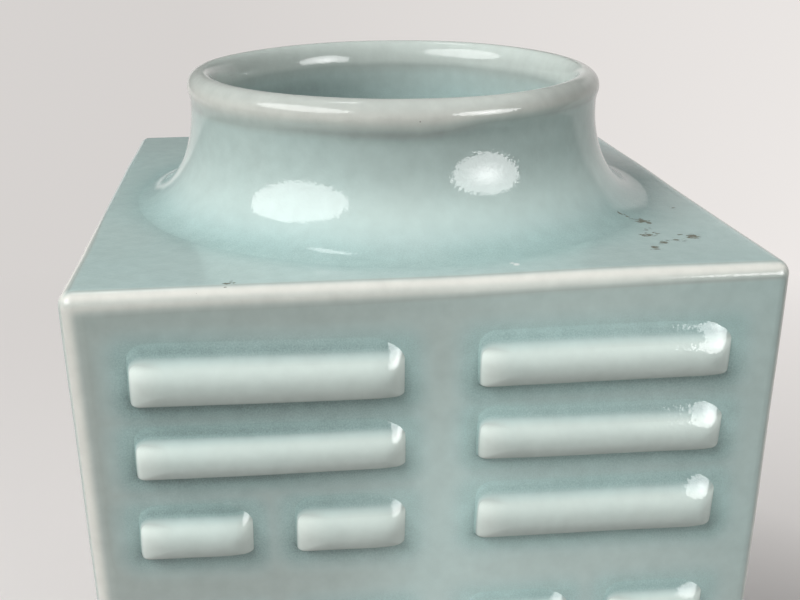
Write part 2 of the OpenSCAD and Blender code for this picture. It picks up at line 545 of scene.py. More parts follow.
def neck_glaze(co):
    """Glaze and milk on the neck: stained lip, lighter flare, deeper foot, painted shade under the lip and in
    the bore.
    """
    x = co[:, 0] / MM
    radius = np.hypot(co[:, 0], co[:, 1])
    height = (co[:, 2] - shoulder_top) / MM
    left = ease(-x, 10, 40)
    bore = ease(radius, 43.8 * MM, 42 * MM)
    depth = 0.56 + 0.24 * bump_at(height, 4.5)
    milk_and_shade = -0.1 + 0.1 * left + (0.36 - 0.2 * left) * bump_at(height - 7, 6) - 0.12 * bump_at(height, 3)
    # Painted shade in a band under the lip, in the middle of the front.
    milk_and_shade -= 0.3 * bump_at(height - 22, 1.8) * bump_at(x + 4, 22)
    stain = -0.16 + 0.11 * bump_at(x - 12, 10) - 0.1 * ease(x, 22, 30)
    lip = ease(height - 2 * ease(x, 0, 15), 20, 24)
    depth += (0.2 - 0.15 * bump_at(height - 24.6, 1.4) - depth) * lip
    milk_and_shade += (stain - milk_and_shade) * lip
    inside = 0.58 + 0.15 * ease(21 - height, 0, 7)
    inside += (0.3 - inside) * ease(height, 20.5, 23.2)
    # Painted shade on the left of the bore; its right is lighter, partly a paler glaze and partly painted
    # light.
    bore_shade_and_light = -0.35 * ease(15 - x, 0, 40) * ease(height, 23, 17) + 0.1 * ease(x, 5, 25)
    return depth + (inside - depth) * bore, milk_and_shade + (bore_shade_and_light - milk_and_shade) * bore


neck = paint(throw_ring("neck", neck_profile), neck_glaze)
bpy.ops.object.mode_set(mode="EDIT")
bpy.ops.mesh.select_all(action="SELECT")
bpy.ops.transform.translate(value=(NECK_SHIFT, 0, 0))
choose_edges(neck, lambda a, b: min(a.z, b.z) > waist_height + 0.5 * MM)
bpy.ops.transform.translate(value=(0, 0, LIP_LIFT))
bpy.ops.transform.rotate(value=LIP_TILT, orient_axis="X", center_override=(0, 0, waist_height))
bpy.ops.object.mode_set(mode="OBJECT")
rim = points_of(neck)
rim = rim[rim[:, 2] > neck_high.z - 1 * MM]
front_rim, back_rim = (rim[rim[:, 1] * side > 0, 2].max() / MM for side in (-1, 1))
print(f"Neck: rim at {front_rim:.2f} mm in front and {back_rim:.2f} mm behind")

# %% [markdown]
# ## Foot ring
#
# The foot mirrors the neck. It stands on a flat rim that was wiped clean of glaze before firing, with a
# small bevel on each side where a knife trimmed it, and its inside leans in a little towards the base.
# Its outside is one arc that is upright at the waist.

# %% Foot ring
foot_waist = 46 * MM
foot_waist_z = 9 * MM
foot_flare = foot_high.x
rim_width = 7 * MM
rim_bevel = 1.2 * MM
inside_lean = 1 * MM


def foot_profile():
    reach = foot_flare - foot_waist
    climb = base_bottom - foot_waist_z
    sweep = (reach ** 2 + climb ** 2) / (2 * reach)
    centre = (foot_waist + sweep, foot_waist_z)
    low_end = 180 + math.degrees(math.asin((foot_waist_z - rim_bevel) / sweep))
    high_end = 180 - math.degrees(math.asin(climb / sweep))
    outside = arc(centre, sweep, low_end, high_end, 28)
    rim_radius = outside[0][0]
    inner = rim_radius - rim_width
    rim = [(inner, rim_bevel), (inner + rim_bevel, 0), (rim_radius - rim_bevel, 0)]
    top = [(foot_flare, foot_high.z), (inner - inside_lean, foot_high.z)]
    return rim + outside + top


def foot_glaze(co):
    """Glaze on the foot ring, pooled under the base and thin above the bare rim."""
    return 0.2 + 0.6 * ease(co[:, 2], 2 * MM, 20 * MM), np.zeros(len(co))


foot = paint(throw_ring("foot", foot_profile()), foot_glaze)
print("Foot:", len(foot.data.polygons), "faces")

# %% [markdown]
# ## Rings of a bar
#
# A bar is a strip of clay pressed onto the wall and softened by the glaze that runs over it. Its upper
# side climbs from the wall in a long slope to a round back, the back leans down again towards a lower
# edge that is cut off short, so that a shadow lies under it, and the ends fall away. A bevelled block
# would be too even for that. We describe the bar by level rings instead, like the lines on a map of a
# hill.

# %% Rings of a bar
# Each ring of a bar: its rise above the wall, and how far it stands in from the bar's outline at the
# top, below, on the left and on the right, in millimetres.
RINGS = [
    (0, -5.0, -0.5, -0.7, -1.3), (0.04, -2.9, -0.47, -0.62, -1.27), (0.14, -2.2, -0.42, -0.55, -1.22),
    (0.42, -1.3, -0.35, -0.42, -1.12), (0.85, -0.3, -0.25, -0.22, -0.92), (1.3, 0.65, -0.14, 0.05, -0.55),
    (1.68, 1.45, 0.0, 0.35, 0.0), (2.0, 2.25, 0.3, 0.9, 0.6), (2.28, 3.2, 0.95, 2.1, 1.6),
    (2.46, 4.2, 1.6, 4.0, 2.8), (2.53, 5.0, 2.2, 6.0, 4.2),
]
# Radius of each corner of a bar's outline, by its side along X and along Y.
BAR_CORNERS = {(1, 1): 1.6 * MM, (-1, 1): 3.5 * MM, (1, -1): 1.2 * MM, (-1, -1): 1.2 * MM}
bar_sunk = 0.12 * MM
bar_backing = 0.8 * MM


def ring_box(ring, length):
    """Rise, width, depth and middle of one ring of a bar."""
    rise, top, low, left, right = (v * MM for v in ring)
    middle = Vector(((left - right) / 2, (low - top) / 2, 0))
    return rise, length - left - right, bar_height - top - low, middle


print("A bar has", len(RINGS), "rings and rises", RINGS[-1][0], "mm")

# %% [markdown]
# ## Bars
#
# We round the corners of a flat plane, cut it across into cells, and extrude it ring by ring, each a
# little smaller and higher. Subdivision turns the rings into one swell, and a displacement presses the
# right end down, as a thumb did. The glaze is milky along the back and thin on the ends. A whole bar
# and half a bar are modelled once.

# %% Glaze and thumb on a bar
BAR_GLAZE, BAR_MILK, BAR_END_GLAZE = 0.45, 0.66, 0.10
# The potter's thumb pressed the right end down, by so much at its tip and over so much of its length.
PRESS_DEPTH, PRESS_LENGTH = 1.5 * MM, 8.5 * MM


def bar_glaze(co):
    """Glaze and milk on a bar that lies flat, and how far its back rises out of the wall's glaze."""
    x, y, rise = co.T / MM
    back = ease(y, 5.2, 2.1) * ease(rise, 0.4, 1.0)
    end = 0.45 * ease(x, 7 + x.min(), 1 + x.min()) + 0.4 * ease(x, x.max() - 4, x.max() - 0.8)
    milk_and_shade = 0.08 + BAR_MILK * bump_at(y - 2.1, 2.7) * (1 - 0.6 * end)
    return BAR_GLAZE + (BAR_END_GLAZE - BAR_GLAZE) * end, milk_and_shade, back


def press_end(piece, tip):
    """Press the right end of a bar down, more and more towards its tip."""
    group = piece.vertex_groups.new(name="press")
    for i, x in enumerate(points_of(piece)[:, 0]):
        group.add([i], float(np.clip(1 + (x - tip) / PRESS_LENGTH, 0, 1) ** 3), "REPLACE")
    finish_with(piece, "DISPLACE", direction="Z", strength=-PRESS_DEPTH, mid_level=0, vertex_group="press")
    piece.vertex_groups.clear()


print("The thumb pressed", PRESS_DEPTH / MM, "mm deep over", PRESS_LENGTH / MM, "mm")

# %% Bars
BAR_CELL, END_CELL = 4 * MM, 0.9 * MM


def choose_point(piece, place):
    """In edit mode, select the one point at a place."""
    bpy.ops.mesh.select_mode(type="VERT")
    bpy.ops.mesh.select_all(action="DESELECT")
    shape = bmesh.from_edit_mesh(piece.data)
    for point in shape.verts:
        point.select_set((point.co - Vector(place)).length < 0.01 * MM)
    bmesh.update_edit_mesh(piece.data)


def model_bar(name, length):
    """A bar that lies on z = 0 with its back up, its length along X and its top towards Y."""
    lay_aside()
    rise, span, drop, middle = ring_box(RINGS[0], length)
    bpy.ops.mesh.primitive_plane_add(size=1, location=middle - Vector((0, 0, bar_sunk)))
    piece = name_piece(name)
    piece.scale = (span, drop, 1)
    bpy.ops.object.transform_apply(location=True, rotation=True, scale=True)
    bpy.ops.object.mode_set(mode="EDIT")
    for (right, up), radius in BAR_CORNERS.items():
        choose_point(piece, middle + Vector((right * span / 2, up * drop / 2, -bar_sunk)))
        bpy.ops.mesh.bevel(offset=radius, segments=4, affect="VERTICES")
    low, high = middle.x - span / 2 + 2.7 * MM, middle.x + span / 2 - 1.8 * MM
    slice_across(0, low, high, cell=BAR_CELL)
    slice_across(0, low, low + 4 * END_CELL, cell=END_CELL)
    slice_across(0, high - 8 * END_CELL, high, cell=END_CELL)
    bpy.ops.mesh.select_mode(type="FACE")
    bpy.ops.mesh.select_all(action="SELECT")
    for ring in RINGS[1:]:
        new_rise, new_span, new_drop, new_middle = ring_box(ring, length)
        bpy.ops.mesh.extrude_region_move(TRANSFORM_OT_translate={"value": (0, 0, new_rise - rise)})
        bpy.ops.transform.resize(value=(new_span / span, new_drop / drop, 1), center_override=middle)
        bpy.ops.transform.translate(value=new_middle - middle)
        rise, span, drop, middle = new_rise, new_span, new_drop, new_middle
    bpy.ops.mesh.select_all(action="DESELECT")
    bpy.ops.mesh.select_mode(type="EDGE")
    bpy.ops.mesh.select_non_manifold()
    bpy.ops.mesh.extrude_edges_move(TRANSFORM_OT_translate={"value": (0, 0, -bar_backing)})
    bpy.ops.mesh.edge_face_add()
    bpy.ops.mesh.select_all(action="SELECT")
    bpy.ops.mesh.normals_make_consistent(inside=False)
    bpy.ops.object.mode_set(mode="OBJECT")
    finish_with(piece, "SUBSURF", levels=1, render_levels=1)
    paint(piece, bar_glaze)
    press_end(piece, length / 2 - RINGS[0][4] * MM)
    return piece


whole_bar = model_bar("whole_bar", bar_length)
half_bar = model_bar("half_bar", half_bar_length)
tallest = points_of(whole_bar)[:, 2].max() / MM
print("Whole bar:", len(whole_bar.data.polygons), "faces,", round(tallest, 2), "mm high")

# %% [markdown]
# ## Trigrams
#
# Each trigram is one piece made of three to six copies of the two bars. Where the photograph shows no
# slip of the hand, a seeded random source gives every bar a small one of its own, the same on each run.
# At the end the wall's glaze is let run up the slopes of the bars, with a little painted shade that
# evens out the extra light on their upturned slopes, so that no line shows where they start.

# %% Setting the bars
hand = random.Random(8)
SLIP, TILT = 0.3 * MM, math.radians(0.6)


def place_bar(x, z, length, height, turn, loose):
    """A copy of the right bar, stood on the front wall, with a further slip of the hand where it is loose."""
    whole = length > 1.5 * half_bar_length
    pattern, plain = (whole_bar, bar_length) if whole else (half_bar, half_bar_length)
    bar = pattern.copy()
    bar.data = pattern.data.copy()
    bpy.context.scene.collection.objects.link(bar)
    longer = length / plain * (1 + loose * hand.uniform(-0.006, 0.006))
    taller = height / bar_height
    stretch = Matrix.Diagonal((longer, taller, math.sqrt(taller), 1))
    turn += loose * hand.uniform(-TILT, TILT)
    stand = Matrix.Rotation(math.radians(90), 4, "X") @ Matrix.Rotation(turn, 4, "Z")
    x += loose * hand.uniform(-SLIP, SLIP)
    z += loose * hand.uniform(-SLIP, SLIP)
    bar.data.transform(Matrix.Translation((x, -half_width, z)) @ stand @ stretch)
    return bar


print("Bars slip by up to", SLIP / MM, "mm")

# %% Trigrams
# How much painted shade lies at the toe of a bar's slope and further up, against the extra light that
# the slope catches, so that no line shows.
TOE_SHADE, SLOPE_SHADE = 0.05, 0.12


def soak(piece):
    """Let the glaze of the front wall run over bars that stand on it, up to their backs, with painted shade
    on their slopes.
    """
    points = points_of(piece)
    back = read_paint(piece, "back")
    glaze, milk_and_shade = body_glaze(points)
    milk_and_shade -= TOE_SHADE + SLOPE_SHADE * ease(-half_width - points[:, 1], 0, 0.4 * MM)
    for name, wall in (("glaze", glaze), ("milk_and_shade", milk_and_shade)):
        write_paint(piece, name, wall + (read_paint(piece, name) - wall) * back)
    piece.data.attributes.remove(piece.data.attributes["back"])


def model_trigram(name, trigram, quarter):
    loose = 0 if quarter == 0 and trigram in HAND_SLIPS else 1
    bars = [place_bar(*bar, loose) for bar in bar_places(trigram)]
    lay_aside()
    for bar in bars:
        bar.select_set(True)
    bpy.context.view_layer.objects.active = bars[0]
    bpy.ops.object.join()
    piece = name_piece(name)
    soak(piece)
    piece.data.transform(Matrix.Rotation(math.radians(90 * quarter), 4, "Z"))
    return piece


trigram_pieces = {}
for quarter, side in enumerate(WALLS):
    for trigram in TRIGRAMS:
        stem = f"{side}_{trigram}"
        trigram_pieces[f"{stem}_trigram"] = model_trigram(f"{stem}_bars", trigram, quarter)
for pattern in (whole_bar, half_bar):
    bpy.data.objects.remove(pattern)
print("Trigrams:", len(trigram_pieces))

# %% [markdown]
# ## Kiln warp
#
# No slab stays true in the fire. One soft cloud texture pushes every piece by a fraction of a
# millimetre, and because it is read by place, pieces that touch move together and stay closed. It fades
# out towards the foot, which has to stand flat.

# %% Kiln warp
WARP = 0.9 * MM
kiln = bpy.data.textures.new("kiln_warp", "CLOUDS")
kiln.noise_scale = 60 * MM
kiln.cloud_type = "COLOR"
kiln.noise_depth = 1


def warp(piece):
    """Push a piece by the kiln's cloud, with less and less towards the foot."""
    group = piece.vertex_groups.new(name="warp")
    weights = ease(points_of(piece)[:, 2], base_bottom, base_bottom + 60 * MM)
    for i, weight in enumerate(weights):
        group.add([i], float(weight), "REPLACE")
    finish_with(
        piece, "DISPLACE", texture=kiln, texture_coords="GLOBAL", direction="RGB_TO_XYZ",
        strength=WARP, mid_level=0.5, vertex_group="warp",
    )
    piece.vertex_groups.clear()


clay = {"shoulder_slab": shoulder, "base_slab": base, "neck_collar": neck, "foot_ring": foot}
clay.update(wall_pieces)
clay.update(trigram_pieces)
for piece in clay.values():
    warp(piece)
    lay_aside()
    piece.select_set(True)
    bpy.context.view_layer.objects.active = piece
    bpy.ops.object.shade_smooth_by_angle(angle=math.radians(40))
print("Warped", len(clay), "pieces by up to about", WARP / 2 / MM, "mm")

# %% [markdown]
# ## Tools for materials
#
# A material is a tree of nodes whose sockets are linked. In the shader editor one adds and links them
# by hand. In a script a few helpers keep that readable: each adds one node, feeds it and hands back the
# socket that comes out.

# %% Tools for materials


def add_node(tree, kind, **settings):
    """A shader node with its settings. A key that is no setting names an input, with _ for a space."""
    node = tree.nodes.new(kind)
    for key, value in settings.items():
        if hasattr(node, key):
            setattr(node, key, value)
        else:
            node.inputs[key.replace("_", " ")].default_value = value
    return node


def link(tree, source, target):
    """Feed one socket into another."""
    tree.links.new(source, target)


def calculate(tree, operation, a, b, clamp=False):
    """A math node on two values, each a socket or a number."""
    node = tree.nodes.new("ShaderNodeMath")
    node.operation = operation
    node.use_clamp = clamp
    for socket, value in zip(node.inputs, (a, b)):
        if isinstance(value, (int, float)):
            socket.default_value = value
        else:
            link(tree, value, socket)
    return node.outputs[0]


def blend_colour(tree, amount, below, above):
    """Mix a colour over another by an amount, each a socket or a colour."""
    node = tree.nodes.new("ShaderNodeMix")
    node.data_type = "RGBA"
    link(tree, amount, node.inputs["Factor"])
    for socket, value in zip((node.inputs[6], node.inputs[7]), (below, above)):
        if isinstance(value, tuple):
            socket.default_value = (*value, 1)
        else:
            link(tree, value, socket)
    return node.outputs[2]


def mix_shaders(tree, amount, below, above):
    """Mix one shader over another by an amount."""
    node = add_node(tree, "ShaderNodeMixShader")
    for socket, target in zip((amount, below, above), node.inputs):
        link(tree, socket, target)
    return node.outputs[0]


def vector_math(tree, operation, place, other=(0, 0, 0)):
    """A vector math node on a socket and a fixed vector, which gives a vector or a length."""
    node = add_node(tree, "ShaderNodeVectorMath", operation=operation)
    link(tree, place, node.inputs[0])
    node.inputs[1].default_value = other
    return node.outputs["Value" if operation in ("DISTANCE", "LENGTH") else "Vector"]


def axes_of(tree, place):
    """The X, Y and Z sockets of a vector."""
    node = add_node(tree, "ShaderNodeSeparateXYZ")
    link(tree, place, node.inputs[0])
    return node.outputs


def slide(tree, value, start, end, first=0.0, last=1.0):
    """Map a socket between a start and an end to the range from first to last, and no further."""
    node = add_node(tree, "ShaderNodeMapRange", From_Min=start, From_Max=end, To_Min=first, To_Max=last)
    link(tree, value, node.inputs["Value"])
    return node.outputs["Result"]


def noise(tree, place, size, detail=2):
    """Noise whose blobs are about as large as size, in metres."""
    node = add_node(tree, "ShaderNodeTexNoise", Scale=1 / size, Detail=detail)
    link(tree, place, node.inputs["Vector"])
    return node.outputs["Fac"]


def waver(tree, place, size, detail, amount):
    """Noise that wavers about zero by half an amount at most."""
    centred = calculate(tree, "SUBTRACT", noise(tree, place, size, detail), 0.5)
    return calculate(tree, "MULTIPLY", centred, amount)


def new_material(name):
    material = bpy.data.materials.new(name)
    material.use_nodes = True
    tree = material.node_tree
    return material, tree, tree.nodes["Principled BSDF"]


print("Tools for materials ready")

# %% [markdown]
# ## Celadon glaze
#
# The material turns glaze thickness into colour with a ramp: warm white where it is bare, grey-green
# where it is thin and blue-green in a pool. Slow noise drifts the thickness, a mottle and the milk
# lighten or grey the colour, and a fine grain stipples the pools with the tiny bubbles that make real
# celadon look soft. Small specks of iron lie in it. A faint bump under a millimetre wide frays the
# outline of every reflection, and bare edges are duller than the glaze.

# %% Colour, specks and skin of the glaze
GLAZE_RAMP = [
    (0.00, (0.74, 0.745, 0.69)),
    (0.12, (0.65, 0.68, 0.63)),
    (0.30, (0.50, 0.56, 0.525)),
    (0.45, (0.405, 0.468, 0.44)),
    (0.58, (0.43, 0.53, 0.505)),
    (0.70, (0.425, 0.55, 0.53)),
    (0.82, (0.395, 0.555, 0.535)),
    (0.92, (0.29, 0.42, 0.40)),
    (1.00, (0.15, 0.22, 0.205)),
]
IRON_BROWN = (0.10, 0.085, 0.06)
# Specks sit in the middle of some of the cells that fill the glaze, about so far apart.
SPECK_SPACING, SPECKLESS_SHARE, SPECK_SIZE, SPECK_STRENGTH = 7 * MM, 0.72, 0.12, 0.6


def ramp_colour(tree, depth):
    """The colour of the glaze for its depth."""
    ramp = tree.nodes.new("ShaderNodeValToRGB")
    while len(ramp.color_ramp.elements) < len(GLAZE_RAMP):
        ramp.color_ramp.elements.new(0.5)
    for stop, (at, colour) in zip(ramp.color_ramp.elements, GLAZE_RAMP):
        stop.position = at
        stop.color = (*colour, 1)
    link(tree, depth, ramp.inputs["Fac"])
    return ramp.outputs["Color"]


def iron_specks(tree, place):
    """Specks of iron as a mask. Each cell's own random colour says whether it has one, and how large."""
    cells = add_node(tree, "ShaderNodeTexVoronoi", Scale=1 / SPECK_SPACING)
    link(tree, place, cells.inputs["Vector"])
    chance = add_node(tree, "ShaderNodeSeparateColor")
    link(tree, cells.outputs["Color"], chance.inputs[0])
    size = calculate(tree, "SUBTRACT", chance.outputs[0], SPECKLESS_SHARE)
    size = calculate(tree, "MULTIPLY", size, SPECK_SIZE)
    speck = calculate(tree, "LESS_THAN", cells.outputs["Distance"], size)
    return calculate(tree, "MULTIPLY", speck, SPECK_STRENGTH)


def glaze_skin(tree, place):
    """The lie of the surface: a fine peel on a slow swell."""
    peel = add_node(tree, "ShaderNodeBump", Strength=1.0, Distance=0.025 * MM)
    link(tree, noise(tree, place, 0.8 * MM, 1), peel.inputs["Height"])
    swell = add_node(tree, "ShaderNodeBump", Strength=1.0, Distance=0.05 * MM)
    link(tree, noise(tree, place, 9 * MM), swell.inputs["Height"])
    link(tree, peel.outputs["Normal"], swell.inputs["Normal"])
    return swell.outputs["Normal"]


print("Glaze ramp with", len(GLAZE_RAMP), "stops")

# %% Celadon glaze
GLOSS, BARE_GLOSS = 0.05, 0.2


def celadon(name, painted=True):
    """The glaze, as a material with its tree, shader, place and colour, which later marks build on."""
    material, tree, shader = new_material(name)
    place = add_node(tree, "ShaderNodeTexCoord").outputs["Object"]
    thickness, milk_and_shade = INSIDE_GLAZE, 0
    if painted:
        thickness = add_node(tree, "ShaderNodeAttribute", attribute_name="glaze").outputs["Fac"]
        milk_and_shade = add_node(tree, "ShaderNodeAttribute", attribute_name="milk_and_shade").outputs["Fac"]
    drift = calculate(tree, "ADD", waver(tree, place, 30 * MM, 3, 0.3), 1)
    depth = calculate(tree, "MULTIPLY", thickness, drift, clamp=True)
    coarse = calculate(tree, "SUBTRACT", calculate(tree, "MULTIPLY", thickness, 3.4), 2.1, clamp=True)
    grain = calculate(tree, "MULTIPLY", waver(tree, place, 0.26 * MM, 1, 0.55), coarse)
    stipple = calculate(tree, "ADD", grain, waver(tree, place, 3 * MM, 3, 0.2))
    lightness = calculate(tree, "ADD", calculate(tree, "ADD", milk_and_shade, 1), stipple)
    tone = add_node(tree, "ShaderNodeVectorMath", operation="SCALE")
    link(tree, ramp_colour(tree, depth), tone.inputs[0])
    link(tree, lightness, tone.inputs["Scale"])
    colour = blend_colour(tree, iron_specks(tree, place), tone.outputs[0], IRON_BROWN)
    link(tree, colour, shader.inputs["Base Color"])
    link(tree, glaze_skin(tree, place), shader.inputs["Normal"])
    shader.inputs["Roughness"].default_value = GLOSS
    if painted:
        link(tree, slide(tree, thickness, 0.0, 0.05, BARE_GLOSS, GLOSS), shader.inputs["Roughness"])
    shader.inputs["IOR"].default_value = 1.52
    return material, tree, shader, place, colour


body_glaze_material = celadon("celadon_glaze")[0]
inside_glaze = celadon("inside_glaze", painted=False)[0]
print("Glaze material with", len(body_glaze_material.node_tree.nodes), "nodes")

# %% [markdown]
# ## Marks of the kiln and of age
#
# The shoulder has a few marks of its own: a brown, broken scar on the right, which reaches the foot of
# the neck, and a pale chip near the front edge, whose paleness is partly a painted glint. Each could be
# painted on a picture. Here they are masks round spots that are placed as seen from above, and noise
# frays their outlines.

# %% Marks of the kiln and of age
SCAR_SPOTS = [
    (44.5, -33.4, 0.3), (45.5, -33.7, 0.35), (46.5, -34.0, 0.4), (47.9, -36.1, 1.2), (49.3, -37.7, 0.8),
    (47.9, -41.8, 0.35), (46.8, -42.8, 0.35), (44.9, -46.2, 0.7), (46.2, -46.0, 0.85), (47.7, -45.5, 0.7),
    (54.7, -48.2, 1.3), (50.2, -50.1, 0.65), (51.7, -50.0, 0.65), (52.7, -46.5, 0.4), (47.3, -51.6, 0.95),
    (44.5, -54.5, 0.9), (58.3, -27.2, 0.45), (-37.8, -64.4, 0.4), (-37.1, -64.3, 0.45), (-36.4, -64.3, 0.4),
]
# A small chip near the front edge, painted pale, partly as a glint where it catches the light.
CHIP_GLINT_SPOTS = [(15.4, -60.6, 0.8), (14.8, -59.8, 0.55)]
SCAR_BROWN = (0.16, 0.17, 0.13)
CHIP_GLINT_WHITE = (0.72, 0.76, 0.73)
# How wide a spot is for its depth from front to back.
SPOT_SHAPE = 0.8
SPOT_SOFT = 0.5 * MM


def spots_mask(tree, place, spots, fray, level):
    """1 inside any of the spots, as seen from above, with a frayed and broken outline."""
    rough = calculate(tree, "MULTIPLY", calculate(tree, "SUBTRACT", fray, 0.5), level)
    plan = vector_math(tree, "MULTIPLY", place, (1, SPOT_SHAPE, 0))
    found = None
    for x, y, radius in spots:
        away = vector_math(tree, "DISTANCE", plan, (x * MM, y * SPOT_SHAPE * MM, 0))
        inside = calculate(tree, "SUBTRACT", radius * MM, away)
        found = inside if found is None else calculate(tree, "MAXIMUM", found, inside)
    return calculate(tree, "MULTIPLY", calculate(tree, "ADD", found, rough), 1 / SPOT_SOFT, clamp=True)


marked_glaze, tree, shader, place, colour = celadon("marked_glaze")
fray = noise(tree, vector_math(tree, "MULTIPLY", place, (0.55, 1, 1)), 0.8 * MM, 3)
colour = blend_colour(tree, spots_mask(tree, place, SCAR_SPOTS, fray, 5 * MM), colour, SCAR_BROWN)
colour = blend_colour(tree, spots_mask(tree, place, CHIP_GLINT_SPOTS, fray, 1 * MM), colour, CHIP_GLINT_WHITE)
link(tree, colour, shader.inputs["Base Color"])
print("Marks:", len(SCAR_SPOTS) + len(CHIP_GLINT_SPOTS), "spots on the shoulder and the neck's foot")

# %% [markdown]
# ## Bare rim of the foot
#
# Where the vase stood in the kiln its rim was wiped, so that it would not stick, and the clay shows,
# warm and dull. The line is a height in the material with a little noise, because a sponge leaves no
# straight edge.

# %% Bare rim of the foot
BARE_CLAY = (0.56, 0.48, 0.39)
WIPED_HEIGHT, WIPED_WAVE = 1.2 * MM, 1.2 * MM

foot_finish, tree, shader, place, colour = celadon("foot_glaze")
wavy = calculate(tree, "MULTIPLY", noise(tree, place, 8 * MM), WIPED_WAVE)
height = calculate(tree, "SUBTRACT", axes_of(tree, place)["Z"], wavy)
bare = calculate(tree, "LESS_THAN", height, WIPED_HEIGHT)
link(tree, blend_colour(tree, bare, colour, BARE_CLAY), shader.inputs["Base Color"])
dull = calculate(tree, "ADD", calculate(tree, "MULTIPLY", bare, 0.65), 0.09)
link(tree, dull, shader.inputs["Roughness"])
print("Rim bare up to about", WIPED_HEIGHT / MM, "mm")

# %% [markdown]
# ## Putting it together
#
# Every piece takes its glaze, rides on the one body of the vase and stands in for its construction
# node. The four coils in the inside seams keep their construction shape and get the plain glaze of the
# inside.

# %% Putting it together
finishes = {"shoulder_slab": marked_glaze, "neck_collar": marked_glaze, "foot_ring": foot_finish}
for node_name, piece in clay.items():
    piece.data.materials.clear()
    piece.data.materials.append(finishes.get(node_name, body_glaze_material))
    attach(piece, "root")
    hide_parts(node_name)
coils = [node for name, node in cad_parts.items() if name.endswith("_seam_coil")]
for coil in coils:
    for slot in coil.material_slots:
        slot.material = inside_glaze
print("Dressed", len(clay), "pieces and", len(coils), "coils")

# %% [markdown]
# ## Light of the backdrop
#
# The photograph was taken in front of a pale sheet, a little brighter on the right. The camera sees its
# even tone everywhere, while reflections see a sheet with an upper edge that slants up to the right and
# an upright right edge, duller on the right, and a dim room elsewhere. That draws the pale bands down
# both sides of the neck. A picture of a studio could do the same. A rule of direction needs no file and
# each edge can be moved by itself.

# %% Light of the backdrop
BACKDROP = (0.727, 0.698, 0.680)
BACKDROP_LEVEL = 0.93
# The sheet's two edges as seen from the neck: where each lies, how it slants and how soft it is.
SHEET_TOP, SHEET_SLANT, SHEET_FADE = 0.12, 0.34, 0.012
SHEET_RIGHT, SHEET_LEAN, SHEET_SOFT = 1.10, 0.8, 0.02
# How much brighter the backdrop gets towards the right, from where and up to where.
BRIGHTEN_RIGHT, BRIGHTEN_FROM, BRIGHTEN_SPAN = 0.35, -0.08, 0.7
ROOM_DIM = 0.2
# How much duller the sheet is on the right.
SHEET_DULL = 0.4
neck_middle = Vector((0, 0, shoulder_top + 12 * MM))


def backdrop_light(tree, direction):
    """How pale the surroundings look along a direction, and 1 where a ray sees them at all."""
    x, y, height = axes_of(tree, vector_math(tree, "NORMALIZE", direction))
    turn = calculate(tree, "ARCTAN2", x, y)
    above = calculate(tree, "SUBTRACT", height, calculate(tree, "MULTIPLY", turn, SHEET_SLANT))
    under_top = slide(tree, above, SHEET_TOP + SHEET_FADE, SHEET_TOP - SHEET_FADE)
    beside = calculate(tree, "ADD", turn, calculate(tree, "MULTIPLY", height, SHEET_LEAN))
    within = slide(tree, beside, SHEET_RIGHT + SHEET_SOFT, SHEET_RIGHT - SHEET_SOFT)
    duller = calculate(tree, "MULTIPLY", calculate(tree, "ADD", turn, 0, clamp=True), SHEET_DULL)
    sheet = calculate(tree, "MULTIPLY", within, under_top)
    sheet = calculate(tree, "MULTIPLY", sheet, calculate(tree, "SUBTRACT", 1, duller))
    sheet = calculate(tree, "MAXIMUM", sheet, ROOM_DIM)
    path = add_node(tree, "ShaderNodeLightPath")
    mirrored = path.outputs["Is Glossy Ray"]
    direct = calculate(tree, "MAXIMUM", path.outputs["Is Camera Ray"], path.outputs["Is Transmission Ray"])
    past = calculate(tree, "SUBTRACT", calculate(tree, "SINE", turn, 0), BRIGHTEN_FROM)
    past = calculate(tree, "MINIMUM", calculate(tree, "MAXIMUM", past, 0), BRIGHTEN_SPAN)
    level = calculate(tree, "ADD", calculate(tree, "MULTIPLY", past, BRIGHTEN_RIGHT), BACKDROP_LEVEL)
    shown = calculate(tree, "ADD", direct, calculate(tree, "MULTIPLY", mirrored, sheet))
    return calculate(tree, "MULTIPLY", shown, level), calculate(tree, "MAXIMUM", direct, mirrored)


print("Backdrop tone", BACKDROP)

# %% [markdown]
# ## Floor
#
# The vase stands on a pale sweep. Near it the floor is a plain surface that takes its shadow, with a
# painted shadow that darkens it further on the right. Further away it melts into the light of the
# backdrop, so no horizon shows. For the light that it throws back onto the vase it counts as darker.

# %% Floor
FLOOR_PALE, FLOOR_SHADED, FLOOR_BOUNCE = (0.82, 0.79, 0.77), (0.52, 0.50, 0.49), (0.30, 0.29, 0.28)

lay_aside()
bpy.ops.mesh.primitive_grid_add(x_subdivisions=4, y_subdivisions=4, size=30, location=(0, 0, 0))
floor = name_piece("floor")
floor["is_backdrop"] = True
floor_material, tree, shader = new_material("pale_sweep")
shader.inputs["Roughness"].default_value = 0.9
shader.inputs["Specular IOR Level"].default_value = 0
place = add_node(tree, "ShaderNodeTexCoord").outputs["Object"]
strength, seen = backdrop_light(tree, vector_math(tree, "SUBTRACT", place, neck_middle))
away = vector_math(tree, "LENGTH", place)
